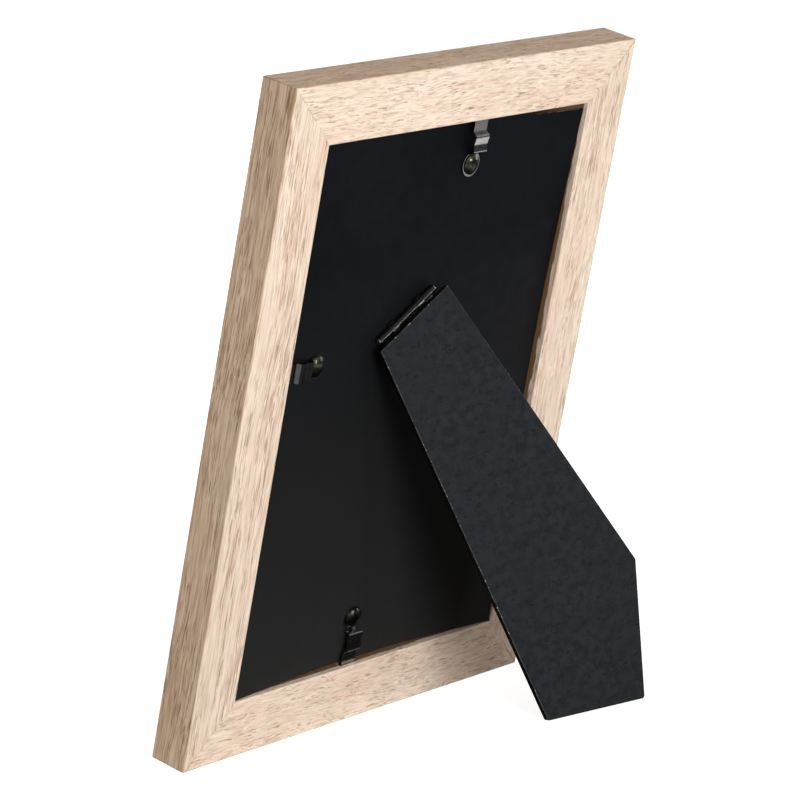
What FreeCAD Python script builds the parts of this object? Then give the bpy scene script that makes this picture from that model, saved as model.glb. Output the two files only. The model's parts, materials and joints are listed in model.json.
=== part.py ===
import FreeCAD, Part
import math
import os

# Easel back photo frame for one A5 picture, standing upright on its bottom rail and its leg.
# Lengths are millimetres and angles are degrees.
# The pieces are built flat, in frame axes: x to the right as seen from behind, y up the frame, z out of its
# back, from the middle of the bottom rail's back edge. At the end the frame is leaned back into its standing
# pose, in which +Z is up, the picture faces -Y and the leg stands towards +Y.

# Picture, glass and backboard
picture_width = 148.0
picture_height = 210.0
picture_play = 1.0           # room between the picture and each rail
sheet_play = 0.5             # room between the glass, the backboard and each rail
glass_thickness = 2.0
insert_thickness = 0.3
board_thickness = 2.5
board_recess = 4.2           # from the back faces of the rails down to the backboard

# Rails
rail_wall = 22.8             # width of a rail's back face
rail_depth = 16.0
rail_lip = 5.0               # how far the front of a rail covers the picture
arris = 0.6                  # rounding of the wrapped edges
sight_arris = 1.2            # rounding of the front edge beside the picture

# Keys hidden in the mitres
key_length = 16.0            # across the mitre
key_width = 9.0              # along the mitre
key_thickness = 2.0
key_depth = 5.5              # from the back face down to the key's middle
key_play = 0.1

# Turn-clips: spring strips on rivets, each reaching into a slot in its rail
clip_thickness = 0.5
clip_width = 7.5
clip_head_radius = 4.7
clip_neck_width = 4.8
clip_corner = 0.7
clip_lift = 0.1              # running gap under the clip's head and under the rivet's
clip_to_wall = 18.0          # from the rivet to the rail's inner wall
clip_tip_reach = 18.55       # from the rivet to the rounded tip
clip_tip_height = 1.7        # heights of the strip's middle layer over the backboard
clip_ridge_height = 3.65
clip_dip_height = 3.05
clip_rise_start = 4.3        # distances along the strip from the rivet
clip_rise_end = 5.3
clip_dip_start = 8.4
clip_fall_start = 11.6
clip_fall_end = 12.9
clip_tight_bend = 0.6
clip_ridge_bend = 0.9
clip_dip_bend = 3.0
slot_play = 0.3              # room beside the tip's swing, over the tip and behind it
clip_top_offset = 13.3       # right of the middle
clip_bottom_offset = -9.0
clip_left_offset = 20.2      # above the middle
clip_right_offset = -20.2

# Rivets that carry the clips
rivet_shank_radius = 1.5
rivet_head_radius = 3.6
rivet_crown_height = 1.1
rivet_crown_bands = 3        # conical bands that make up the dome
rivet_foot_radius = 2.7      # countersunk head in the front of the backboard
rivet_foot_height = 0.9
rivet_play = 0.05

# Hinge
hinge_across = -11.0         # middle of the barrel, from the middle of the frame
hinge_up = 33.5
hinge_slant = 32.3           # slope of the barrel
leaf_thickness = 0.55
leaf_width = 13.0            # from the pin's axis down each leaf
leaf_corner = 2.0
pin_radius = 0.9
pin_play = 0.05
pin_head_radius = 1.2
pin_head_length = 0.5
hinge_margin = 3.9           # from each end of the barrel to the side of the leg's top
leg_knuckle = 3.8
middle_knuckle = 11.0
knuckle_gap = 0.15
knuckle_lift = 0.1           # running gap between the leg's knuckles and the backboard
curl_opening = 55.0          # part of the turn that a curl leaves open
board_curl_opens_at = 205.0  # middle of that part, turned from up the slant towards out of the back
leg_curl_opens_at = 155.0
heel_reach = 2.1             # stop heel on each leg knuckle, from the axis
heel_height = 0.9
heel_gap = 0.05
notch_play = 0.2
prong_length = 1.6
prong_width = 2.4
prong_inset = 5.6            # from the barrel's ends
prong_rows = (4.5, 10.5)     # from the pin's axis down the leg's leaf

# Rivets that hold the hinge on the backboard
hinge_rivet_shank_radius = 1.2
hinge_rivet_head_radius = 2.2
hinge_rivet_head_height = 0.7
hinge_rivet_inset = 6.6      # from the barrel's ends
hinge_rivet_row = 7.5        # from the pin's axis down the board's leaf

# Easel leg
leg_thickness = 2.5
leg_top_width = 39.0
leg_top_gap = 1.5            # from the pin's axis to the leg's top edge
leg_foot_across = 2.4        # foot corner, from the middle of the barrel
leg_foot_edge = 49.1         # the edge that stands on the table
leg_side_edge = 53.9         # the edge that stands when the frame lies on its side
leg_corner = 1.2
leg_top_corner = 0.4

# Standing pose
lean_angle = 13.5            # of the frame, from upright
leg_angle = 22.0             # of the leg, from the backboard

# Worked out from the sizes above
overrun = 2.0                # how far a cut runs past the piece
opening_width = picture_width + 2 * picture_play
opening_height = picture_height + 2 * picture_play
frame_width = opening_width + 2 * rail_wall
frame_height = opening_height + 2 * rail_wall
board_level = -board_recess
board_front = board_level - board_thickness
insert_front = board_front - insert_thickness
ledge_level = insert_front - glass_thickness
pin_bore = pin_radius + pin_play
knuckle_radius = pin_bore + leaf_thickness
axis_height = knuckle_radius + knuckle_lift
barrel_half = leg_top_width / 2 - hinge_margin
hinge_middle = FreeCAD.Vector(hinge_across, frame_height / 2 + hinge_up, board_level + axis_height)
slot_width = 2 * (math.sqrt(clip_tip_reach ** 2 - clip_to_wall ** 2) + slot_play)
slot_height = clip_tip_height + clip_thickness / 2 + slot_play
slot_depth = clip_tip_reach - clip_to_wall + 2 * slot_play

ORIGIN = FreeCAD.Vector(0, 0, 0)
X_AXIS = FreeCAD.Vector(1, 0, 0)
Y_AXIS = FreeCAD.Vector(0, 1, 0)
Z_AXIS = FreeCAD.Vector(0, 0, 1)


# Shapes that several pieces share

def rounded_face(corners):
    """Flat face in the XY plane; each corner is x, y and the radius that rounds it, and zero stays sharp."""
    count = len(corners)
    stretches = []
    for number, (x, y, radius) in enumerate(corners):
        point = FreeCAD.Vector(x, y, 0)
        back = FreeCAD.Vector(*corners[number - 1][:2], 0) - point
        ahead = FreeCAD.Vector(*corners[(number + 1) % count][:2], 0) - point
        back.normalize()
        ahead.normalize()
        half_angle = back.getAngle(ahead) / 2
        if radius == 0:
            stretches.append((point, point, point))
            continue
        tangent = radius / math.tan(half_angle)
        bisector = back + ahead
        bisector.normalize()
        centre = point + bisector * (radius / math.sin(half_angle))
        stretches.append((point + back * tangent, centre - bisector * radius, point + ahead * tangent))
    edges = []
    for number, (start, middle, end) in enumerate(stretches):
        if start != end:
            edges.append(Part.Arc(start, middle, end).toShape())
        following = stretches[(number + 1) % count][0]
        edges.append(Part.LineSegment(end, following).toShape())
    return Part.Face(Part.Wire(edges))


def bent_strip(path, thickness, width):
    """Strip bent along a path of (x, z, bend radius), its middle layer on the path, centred across Y."""
    points = [FreeCAD.Vector(x, z, 0) for x, z, bend in path]
    sides = ([], [])
    for number, point in enumerate(points):
        ways = []
        if number > 0:
            ways.append(point - points[number - 1])
        if number < len(points) - 1:
            ways.append(points[number + 1] - point)
        normals = [FreeCAD.Vector(-way.y, way.x, 0) / way.Length for way in ways]
        first, last = normals[0], normals[-1]
        shift = (first + last) / (1 + first.dot(last))
        turns_left = (first.cross(last)).z > 0
        bend = path[number][2]
        for side, sign in zip(sides, (1, -1)):
            beside = point + shift * (sign * thickness / 2)
            inner = (sign > 0) == turns_left
            radius = 0 if bend == 0 else bend + (-thickness / 2 if inner else thickness / 2)
            side.append((beside.x, beside.y, radius))
    face = rounded_face(sides[1] + sides[0][::-1])
    face.rotate(ORIGIN, X_AXIS, 90)
    face.translate(Y_AXIS * (width / 2))
    return face.extrude(Y_AXIS * -width)


def slab(x_size, y_size, z_low, z_high, corner=0):
    """Flat plate centred on the Z axis."""
    x, y = x_size / 2, y_size / 2
    face = rounded_face([(-x, -y, corner), (x, -y, corner), (x, y, corner), (-x, y, corner)])
    face.translate(Z_AXIS * z_low)
    return face.extrude(Z_AXIS * (z_high - z_low))


def rod(radius, start, end, way=Z_AXIS):
    """Round bar about an axis through the origin, from one place on it to another."""
    return Part.makeCylinder(radius, end - start, way * start, way)


def block(low, high):
    """Box between two corners."""
    size = FreeCAD.Vector(*high) - FreeCAD.Vector(*low)
    return Part.makeBox(size.x, size.y, size.z, FreeCAD.Vector(*low))


def rivet(shank, head, edge_height, crown_height, head_level, foot, foot_height):
    """Rivet through the backboard. Its head has an upright edge, a domed crown, or both. Its foot is sunk in
    the board's front, or is the plain end of its shank where the foot has no height."""
    rim_level = head_level + edge_height
    top = rim_level + crown_height
    foot_level = -board_thickness
    outline = [(0, top)]
    if crown_height > 0:
        sphere = (head ** 2 + crown_height ** 2) / (2 * crown_height)
        for number in range(1, rivet_crown_bands):
            angle = math.asin(head / sphere) * number / rivet_crown_bands
            outline.append((sphere * math.sin(angle), top - sphere * (1 - math.cos(angle))))
    outline += [
        (head, rim_level),
        (head, head_level),
        (shank, head_level),
        (shank, foot_level + foot_height),
        (foot, foot_level),
        (0, foot_level),
        (0, top),
    ]
    points = [FreeCAD.Vector(x, 0, z) for x, z in outline]
    edges = []
    for start, end in zip(points, points[1:]):
        if start != end:
            edges.append(Part.LineSegment(start, end).toShape())
    return Part.Face(Part.Wire(edges)).revolve(ORIGIN, Z_AXIS, 360)


def rivet_hole(shank, foot, foot_height):
    """Hole in the backboard for a rivet, with a countersink where its foot has a height."""
    shank, foot = shank + rivet_play, foot + rivet_play
    hole = rod(shank, -board_thickness - overrun, overrun)
    if foot_height > 0:
        hole = hole.fuse(Part.makeCone(foot, shank, foot_height, Z_AXIS * -board_thickness, Z_AXIS))
    return hole


# Frame and what it holds

def key_box(corner_x, corner_y, play):
    """Key across one mitre, or with play the slot for it."""
    level = key_thickness / 2 + play
    key = slab(key_length + 2 * play, key_width + 2 * play, -level, level)
    key.rotate(ORIGIN, Z_AXIS, -45 if corner_x * corner_y > 0 else 45)
    x = corner_x * (frame_width / 2 - rail_wall / 2)
    y = frame_height / 2 + corner_y * (frame_height / 2 - rail_wall / 2)
    key.translate(FreeCAD.Vector(x, y, -key_depth))
    return key


def corners():
    """The frame's corners as seen from behind, each by its name and its sides."""
    return {"bottom_left": (-1, -1), "bottom_right": (1, -1), "top_right": (1, 1), "top_left": (-1, 1)}


def rail(length, slot_place):
    """One rail along +X with its outer edge on the X axis, mitred at both ends, with a slot for its clip."""
    sight = rail_wall + rail_lip
    section = rounded_face([
        (0, 0, arris),
        (rail_wall, 0, arris),
        (rail_wall, ledge_level, 0),
        (sight, ledge_level, 0),
        (sight, -rail_depth, sight_arris),
        (0, -rail_depth, arris),
    ])
    section.rotate(ORIGIN, X_AXIS, 90)
    section.rotate(ORIGIN, Z_AXIS, 90)
    bar = section.extrude(X_AXIS * length)
    plan = Part.Face(Part.makePolygon([
        FreeCAD.Vector(0, 0, -rail_depth),
        FreeCAD.Vector(length, 0, -rail_depth),
        FreeCAD.Vector(length - sight, sight, -rail_depth),
        FreeCAD.Vector(sight, sight, -rail_depth),
        FreeCAD.Vector(0, 0, -rail_depth),
    ]))
    bar = bar.common(plan.extrude(Z_AXIS * rail_depth))
    slot = block(
        (slot_place - slot_width / 2, rail_wall - slot_depth, board_level),
        (slot_place + slot_width / 2, rail_wall + overrun, board_level + slot_height),
    )
    return bar.cut(slot)


def make_frame():
    """The four rails in place and the keys in their mitres."""
    half = frame_width / 2
    rails = {
        "rail_bottom": (frame_width, half + clip_bottom_offset, 0, (-half, 0)),
        "rail_right": (frame_height, frame_height / 2 + clip_right_offset, 90, (half, 0)),
        "rail_top": (frame_width, half - clip_top_offset, 180, (half, frame_height)),
        "rail_left": (frame_height, frame_height / 2 - clip_left_offset, 270, (-half, frame_height)),
    }
    nodes = {}
    slots = [key_box(x, y, key_play) for x, y in corners().values()]
    for name, (length, slot_place, turn, corner) in rails.items():
        piece = rail(length, slot_place)
        piece.rotate(ORIGIN, Z_AXIS, turn)
        piece.translate(FreeCAD.Vector(*corner, 0))
        nodes[name] = piece.cut(slots)
    for corner, (x, y) in corners().items():
        nodes["corner_key_" + corner] = key_box(x, y, 0)
    return nodes


def clip_places():
    """For each clip its rivet's place on the backboard and the way it points."""
    half_width, half_height = opening_width / 2, opening_height / 2
    middle = frame_height / 2
    return {
        "top": (clip_top_offset, middle + half_height - clip_to_wall, 90),
        "left": (clip_to_wall - half_width, middle + clip_left_offset, 180),
        "bottom": (clip_bottom_offset, middle - half_height + clip_to_wall, 270),
        "right": (half_width - clip_to_wall, middle + clip_right_offset, 0),
    }


def hinge_rivet_places():
    """Places of the hinge's rivets in hinge axes."""
    side = barrel_half - hinge_rivet_inset
    return [(-side, -hinge_rivet_row), (side, -hinge_rivet_row)]


def make_picture_pack():
    """Glass, picture and backboard, one behind the other in the rebate."""
    glass = slab(opening_width - 2 * sheet_play, opening_height - 2 * sheet_play, ledge_level, insert_front)
    insert = slab(picture_width, picture_height, insert_front, board_front)
    board = slab(opening_width - 2 * sheet_play, opening_height - 2 * sheet_play, board_front, board_level)
    nodes = {"glass_pane": glass, "picture_insert": insert, "backboard": board}
    for piece in nodes.values():
        piece.translate(Y_AXIS * (frame_height / 2))
    holes = []
    for x, y, turn in clip_places().values():
        hole = rivet_hole(rivet_shank_radius, rivet_foot_radius, rivet_foot_height)
        hole.translate(FreeCAD.Vector(x, y, board_level))
        holes.append(hole)
    for x, y in hinge_rivet_places():
        hole = rivet_hole(hinge_rivet_shank_radius, hinge_rivet_shank_radius, 0)
        hole.translate(FreeCAD.Vector(x, y, -axis_height))
        holes.append(in_hinge_place(hole))
    nodes["backboard"] = nodes["backboard"].cut(holes)
    return nodes


# Turn-clips

def turn_clip():
    """Spring clip along +X from its rivet's axis, over a backboard whose surface is at z zero."""
    head_height = clip_lift + clip_thickness / 2
    path = [
        (-clip_head_radius - overrun, head_height, 0),
        (clip_rise_start, head_height, clip_tight_bend),
        (clip_rise_end, clip_ridge_height, clip_ridge_bend),
        (clip_dip_start, clip_dip_height, clip_dip_bend),
        (clip_fall_start, clip_ridge_height, clip_ridge_bend),
        (clip_fall_end, clip_tip_height, clip_tight_bend),
        (clip_tip_reach + overrun, clip_tip_height, 0),
    ]
    strip = bent_strip(path, clip_thickness, 2 * clip_head_radius + overrun)
    top = clip_ridge_height + overrun
    half, neck = clip_width / 2, clip_neck_width / 2
    arm = rounded_face([
        (clip_rise_start, -half, clip_corner),
        (clip_tip_reach + overrun, -half, 0),
        (clip_tip_reach + overrun, half, 0),
        (clip_rise_start, half, clip_corner),
    ]).extrude(Z_AXIS * top)
    arm = arm.common(rod(clip_tip_reach, 0, top))
    outline = rod(clip_head_radius, 0, top).fuse([arm, block((0, -neck, 0), (clip_rise_end, neck, top))])
    return strip.common(outline).cut(rod(rivet_shank_radius + rivet_play, -overrun, top))


def make_clips():
    """The four clips, pointing into their slots, each on its rivet."""
    nodes = {}
    head_level = clip_lift + clip_thickness + clip_lift
    for name, (x, y, turn) in clip_places().items():
        clip = turn_clip()
        clip.rotate(ORIGIN, Z_AXIS, turn)
        pivot = rivet(rivet_shank_radius, rivet_head_radius, 0, rivet_crown_height, head_level,
                      rivet_foot_radius, rivet_foot_height)
        for piece in (clip, pivot):
            piece.translate(FreeCAD.Vector(x, y, board_level))
        nodes["clip_" + name] = clip
        nodes["clip_rivet_" + name] = pivot
    return nodes


# Hinge and leg, built in hinge axes from the pin's middle: x along the pin, y up the slant, z out of the
# board

def in_hinge_place(piece):
    """Moves a piece from hinge axes to frame axes."""
    piece.rotate(ORIGIN, Z_AXIS, hinge_slant)
    piece.translate(hinge_middle)
    return piece


def opened(piece):
    """Swings a piece of the leg from flat to its standing angle."""
    piece.rotate(ORIGIN, X_AXIS, -leg_angle)
    return piece


def board_knuckles():
    """Stretches of the barrel that belong to the board's leaf."""
    middle = middle_knuckle / 2
    inner = middle + leg_knuckle
    return [(-barrel_half, -inner), (-middle, middle), (inner, barrel_half)]


def leg_knuckles():
    """Stretches of the barrel that belong to the leg's leaf."""
    start = middle_knuckle / 2 + knuckle_gap
    end = middle_knuckle / 2 + leg_knuckle - knuckle_gap
    return [(-end, -start), (start, end)]


def curl(start, end, opening_at):
    """Rolled knuckle along X, open at an angle measured from +Y towards +Z."""
    ring = rod(knuckle_radius, start, end, X_AXIS)
    reach = 2 * knuckle_radius
    half = curl_opening / 2
    wedge = Part.Face(Part.makePolygon([
        ORIGIN,
        FreeCAD.Vector(reach * math.cos(math.radians(half)), -reach * math.sin(math.radians(half)), 0),
        FreeCAD.Vector(reach * math.cos(math.radians(half)), reach * math.sin(math.radians(half)), 0),
        ORIGIN,
    ]))
    wedge.rotate(ORIGIN, Z_AXIS, opening_at)
    wedge.rotate(ORIGIN, FreeCAD.Vector(1, 1, 1), 120)
    wedge.translate(X_AXIS * (start - overrun))
    return ring.cut(wedge.extrude(X_AXIS * (end - start + 2 * overrun)))


def leaf_plate(z_low, other_knuckles):
    """Flat part of a leaf, notched where the other leaf's knuckles turn."""
    plate = rounded_face([
        (-barrel_half, 0, 0),
        (-barrel_half, -leaf_width, leaf_corner),
        (barrel_half, -leaf_width, leaf_corner),
        (barrel_half, 0, 0),
    ])
    plate.translate(Z_AXIS * z_low)
    plate = plate.extrude(Z_AXIS * leaf_thickness)
    notch_depth = knuckle_radius + notch_play
    notches = []
    for start, end in other_knuckles:
        low = (start - knuckle_gap, -notch_depth, z_low - overrun)
        high = (end + knuckle_gap, overrun, z_low + overrun)
        notches.append(block(low, high))
    return plate.cut(notches)


def make_board_leaf():
    """Leaf riveted on the backboard."""
    leaf = leaf_plate(-axis_height, leg_knuckles())
    leaf = leaf.fuse([curl(start, end, board_curl_opens_at) for start, end in board_knuckles()])
    cuts = [rod(pin_bore, -barrel_half - overrun, barrel_half + overrun, X_AXIS)]
    for x, y in hinge_rivet_places():
        hole = rod(hinge_rivet_shank_radius + rivet_play, -axis_height - overrun, 0)
        hole.translate(FreeCAD.Vector(x, y, 0))
        cuts.append(hole)
    return in_hinge_place(leaf.cut(cuts))


def prongs(play):
    """Prongs of the leg's leaf, pressed into the leg, or with play the pockets for them."""
    across = prong_width / 2 + play
    down = leaf_thickness / 2 + play
    top = knuckle_radius + prong_length + play
    side = barrel_half - prong_inset
    boxes = []
    for row in prong_rows:
        for x in (-side, side):
            boxes.append(block((x - across, -row - down, knuckle_radius), (x + across, -row + down, top)))
    return boxes


def make_leg_leaf():
    """Leaf pronged into the leg; a heel on each knuckle meets the backboard when the leg is open."""
    leaf = leaf_plate(knuckle_radius - leaf_thickness, board_knuckles())
    leaf = leaf.fuse([curl(start, end, leg_curl_opens_at) for start, end in leg_knuckles()] + prongs(0))
    leaf = opened(leaf)
    floor = heel_gap - axis_height
    heels = []
    for start, end in leg_knuckles():
        heels.append(block((start, 0, floor), (end, heel_reach, floor + heel_height)))
    leaf = leaf.fuse(heels).cut(rod(pin_bore, -barrel_half, barrel_half, X_AXIS))
    return in_hinge_place(leaf)


def make_pin():
    """Hinge pin with its peened ends."""
    end = barrel_half + pin_play
    pin = rod(pin_radius, -end, end, X_AXIS)
    heads = [rod(pin_head_radius, end, end + pin_head_length, X_AXIS),
             rod(pin_head_radius, -end - pin_head_length, -end, X_AXIS)]
    return in_hinge_place(pin.fuse(heads))


def make_hinge_rivets():
    """The two rivets of the board's leaf, as one group."""
    group = []
    for x, y in hinge_rivet_places():
        piece = rivet(hinge_rivet_shank_radius, hinge_rivet_head_radius, hinge_rivet_head_height, 0,
                      leaf_thickness, hinge_rivet_shank_radius, 0)
        piece.translate(FreeCAD.Vector(x, y, -axis_height))
        group.append(in_hinge_place(piece))
    return Part.makeCompound(group)


def leg_outline():
    """The leg's corners in hinge axes, its foot edge worked out to lie level on the table."""
    lean, swing, slant = (math.radians(angle) for angle in (lean_angle, leg_angle, hinge_slant))
    rise_along_pin = math.sin(slant) * math.cos(lean)
    rise_down_leg = -math.cos(slant) * math.cos(lean) * math.cos(swing) - math.sin(lean) * math.sin(swing)
    rise_through_leg = math.cos(slant) * math.cos(lean) * math.sin(swing) - math.sin(lean) * math.cos(swing)
    low_face = knuckle_radius if rise_through_leg > 0 else knuckle_radius + leg_thickness
    axis_rise = hinge_middle.y * math.cos(lean) - hinge_middle.z * math.sin(lean)
    table_rise = arris * (math.cos(lean) + math.sin(lean) - 1)
    drop = axis_rise - table_rise + leg_foot_across * rise_along_pin + low_face * rise_through_leg
    foot_down = drop / -rise_down_leg
    foot_slope = math.atan2(rise_along_pin, -rise_down_leg)
    along, down = math.cos(foot_slope), math.sin(foot_slope)
    heel_corner = (leg_foot_across - leg_foot_edge * along, -foot_down + leg_foot_edge * down)
    side_corner = (leg_foot_across + leg_side_edge * down, -foot_down + leg_side_edge * along)
    return [
        (-leg_top_width / 2, -leg_top_gap, leg_top_corner),
        (*heel_corner, leg_corner),
        (leg_foot_across, -foot_down, leg_corner),
        (*side_corner, leg_corner),
        (leg_top_width / 2, -leg_top_gap, leg_top_corner),
    ]


def make_leg():
    """The easel leg, opened to its standing angle."""
    plate = rounded_face(leg_outline())
    plate.translate(Z_AXIS * knuckle_radius)
    leg = plate.extrude(Z_AXIS * leg_thickness).cut(prongs(key_play))
    return in_hinge_place(opened(leg))


def stand(nodes):
    """Leans the whole object into its standing pose, with the origin at the middle of its footprint."""
    lean = math.radians(lean_angle)
    up = FreeCAD.Vector(0, math.sin(lean), math.cos(lean))
    out = FreeCAD.Vector(0, math.cos(lean), -math.sin(lean))
    pose = FreeCAD.Placement(ORIGIN, FreeCAD.Rotation(X_AXIS * -1, up, out, "ZXY"))
    for piece in nodes.values():
        piece.Placement = pose.multiply(piece.Placement)
    box = Part.makeCompound(list(nodes.values())).optimalBoundingBox(False)
    shift = FreeCAD.Vector(-(box.XMin + box.XMax) / 2, -(box.YMin + box.YMax) / 2, -box.ZMin)
    for piece in nodes.values():
        piece.translate(shift)
    return pose, shift


nodes = make_frame()
nodes.update(make_picture_pack())
nodes.update(make_clips())
nodes["hinge_board_leaf"] = make_board_leaf()
nodes["hinge_leg_leaf"] = make_leg_leaf()
nodes["hinge_pin"] = make_pin()
nodes["hinge_rivets"] = make_hinge_rivets()
nodes["easel_leg"] = make_leg()
pose, shift = stand(nodes)

os.makedirs("parts", exist_ok=True)
for name, piece in nodes.items():
    piece.exportStep(os.path.join("parts", name + ".step"))
    print(name, "solids", len(piece.Solids), "volume", round(piece.Volume, 1), "valid", piece.isValid())

for name, (x, y, turn) in clip_places().items():
    print("rivet axis", name, pose.multVec(FreeCAD.Vector(x, y, board_level)) + shift)
print("pin axis", pose.multVec(hinge_middle) + shift)
print("shift", shift)
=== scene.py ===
# %% [markdown]
# An easel back photo frame, seen from behind
#
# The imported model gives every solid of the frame: four mitred rails, the glass, the picture's card, the
# black backboard with its spring clips, and the hinged leg. Here they get their finishes, light and
# camera. The solids keep their places and sizes, so what is done here is what a finisher does: wrap,
# paint, plate and polish.

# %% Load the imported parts
import json
import math
import bpy
import bmesh
from mathutils import Matrix, Quaternion, Vector


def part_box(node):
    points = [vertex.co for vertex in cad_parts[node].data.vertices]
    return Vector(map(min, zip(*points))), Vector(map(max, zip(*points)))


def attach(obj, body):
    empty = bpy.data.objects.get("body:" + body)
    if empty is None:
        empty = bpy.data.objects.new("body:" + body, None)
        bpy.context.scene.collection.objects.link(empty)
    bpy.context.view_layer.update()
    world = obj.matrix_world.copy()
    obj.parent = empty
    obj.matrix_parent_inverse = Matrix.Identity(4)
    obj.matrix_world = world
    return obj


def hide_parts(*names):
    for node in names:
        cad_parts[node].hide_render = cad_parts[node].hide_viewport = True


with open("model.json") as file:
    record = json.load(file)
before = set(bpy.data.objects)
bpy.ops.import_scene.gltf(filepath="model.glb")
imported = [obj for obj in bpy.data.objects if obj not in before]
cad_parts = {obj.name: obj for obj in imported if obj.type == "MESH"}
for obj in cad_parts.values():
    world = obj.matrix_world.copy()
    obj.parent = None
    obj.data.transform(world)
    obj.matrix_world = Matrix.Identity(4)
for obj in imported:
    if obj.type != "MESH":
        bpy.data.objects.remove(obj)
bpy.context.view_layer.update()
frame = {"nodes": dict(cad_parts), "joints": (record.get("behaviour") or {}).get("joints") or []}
parts = frame["nodes"]

# %% [markdown]
# Measuring along the leaning board
#
# The frame leans back by 13.5 degrees, so its grain, its slots and its mitres lie along slanted lines. It
# is easier to measure them from the back, as a maker would with the frame face down on a bench: u to the
# right, v up the frame and w out of its back, in millimetres. One rotation leads from there to the
# standing frame.

# %% Board axes
MM = 0.001
SAME_POINT = 0.001 * MM      # points closer than this are one
LEAN = math.radians(13.5)
FRAME_WIDTH, FRAME_HEIGHT = 195.6, 257.6
RAIL_WALL = 22.8             # width of a rail's back face
LIP_BACK = -9.05             # w of the rails' front lips, just under the glass
BOARD_ORIGIN = Vector((0, -29.0609, -0.1235))   # middle of the bottom rail's back edge, as the frame stands
UP = Vector((0, math.sin(LEAN), math.cos(LEAN)))
OUT = Vector((0, math.cos(LEAN), -math.sin(LEAN)))
TO_BOARD = Matrix((Vector((-1, 0, 0)), UP, OUT))

low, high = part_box("backboard")
print("backboard", [round((b - a) / MM, 1) for a, b in zip(low, high)], "mm, as it stands")

# %% [markdown]
# Colours and shader nodes
#
# Finishes are written as the hex values that a screen shows. Light is mixed in linear values, so one
# function turns the first into the second. Shaders are built in code with one small helper, which adds a
# node, sets it up, links its inputs and hands on its output, so that each recipe below reads from top to
# bottom.

# %% Helpers for every finish
def colour(hex_value):
    """Linear colour of an sRGB hex value such as D9C3A5."""
    channels = [int(hex_value[i:i + 2], 16) / 255 for i in (0, 2, 4)]
    return [c / 12.92 if c <= 0.04045 else ((c + 0.055) / 1.055) ** 2.4 for c in channels] + [1.0]


def add(tree, kind, inputs=None, out=0, **settings):
    """Adds a shader node with its settings, fills or links its inputs, and gives one of its outputs."""
    made = tree.nodes.new("ShaderNode" + kind)
    for name, value in settings.items():
        setattr(made, name, value)
    for name, value in (inputs or {}).items():
        if isinstance(value, bpy.types.NodeSocket):
            tree.links.new(value, made.inputs[name])
        else:
            made.inputs[name].default_value = value
    return made.outputs[out] if made.outputs else made


def start_finish(name, **values):
    """New material; values go to its surface's sockets, written with _ for a space."""
    made = bpy.data.materials.new(name)
    made.use_nodes = True
    shader = made.node_tree.nodes["Principled BSDF"]
    for socket, value in values.items():
        shader.inputs[socket.replace("_", " ")].default_value = value
    return made, made.node_tree, shader


def finish_parts(made, *names):
    """Puts a material on carried-over parts."""
    for name in names:
        for held in parts[name].material_slots:
            held.material = made
    print(made.name, "on", ", ".join(names))


# %% [markdown]
# Patterns that know their size
#
# A finish looks right only at its real scale, so each pattern is placed in millimetres on the board's
# axes. `flecks` makes the pattern that most finishes need: noise with features of a stated size along
# each axis, cut to a soft mask. Long thin features are wood grain or brushing, and even ones are fibres
# or spray. `laid_over` puts one colour after another over a tint through such masks, as coats or printing
# inks are laid.

# %% Places, flecks and layers
def board_place(tree):
    """Place of a surface point in board axes, in millimetres."""
    shift = TO_BOARD @ BOARD_ORIGIN
    return add(tree, "Mapping", {
        "Vector": add(tree, "TexCoord", out="Object"),
        "Location": -shift, "Rotation": TO_BOARD.to_euler(), "Scale": (1 / MM,) * 3,
    })


def flecks(tree, place, size, low, high, detail=2.0, offset=0.0):
    """Mask of flecks with a size along each axis; noise below low gives 0 and above high gives 1."""
    scaled = add(tree, "Mapping", {
        "Vector": place, "Location": (offset,) * 3, "Scale": [1 / s for s in size],
    })
    noise = add(tree, "TexNoise", {"Vector": scaled, "Scale": 1.0, "Detail": detail})
    return add(tree, "MapRange", {"Value": noise, "From Min": low, "From Max": high},
               interpolation_type="SMOOTHSTEP")


def laid_over(tree, tint, layers):
    """Tint with colours laid over it in turn, each through its mask at a share of its strength."""
    for mask, share, ink in layers:
        amount = add(tree, "Math", {0: mask, 1: share}, operation="MULTIPLY")
        tint = add(tree, "Mix", {0: amount, 6: tint, 7: ink}, out=2, data_type="RGBA")
    return tint


print("board axes are turned by", [round(math.degrees(a), 1) for a in TO_BOARD.to_euler()], "degrees")

# %% [markdown]
# Oak-look foil on the rails
#
# The rails aren't solid oak. They are fibreboard mouldings wrapped in a printed and embossed paper foil,
# so the grain runs along each rail, turns the corner at the mitre and goes round the edges without end
# grain. It could be a picture wrapped on the mouldings, but a recipe of flecks gives any view the same
# detail: broad cream and tan bands, long streaks, and the short dark pores of oak, 4 to 10 mm long. Real
# ones are about a third of a millimetre wide and would fall between the picture's pixels, so they are
# drawn at half a millimetre. All patterns are measured from the frame's outer edge and along its outline,
# so the grain turns at each corner, but as on cut mouldings the lines of two rails don't match where they
# meet. A slow sideways drift bends the lines, as growth rings bend.

# %% The foil's colours and the way along the rails
CREAM, TAN, ROSE, GREY = colour("F6E7D5"), colour("DFC6AD"), colour("EFCFBC"), colour("E2D5C6")
# The last tint below is for the outer sides and is painted shade, not a colour of the foil.
PORE, DEEP_PORE, SEAM, SHADED_SIDE_TINT = colour("B2937A"), colour("8E6E58"), colour("77604C"), colour("FDF4EA")
FIBREBOARD, FIBRE_CHIPS = colour("8B6A48"), colour("6B4E33")
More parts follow.
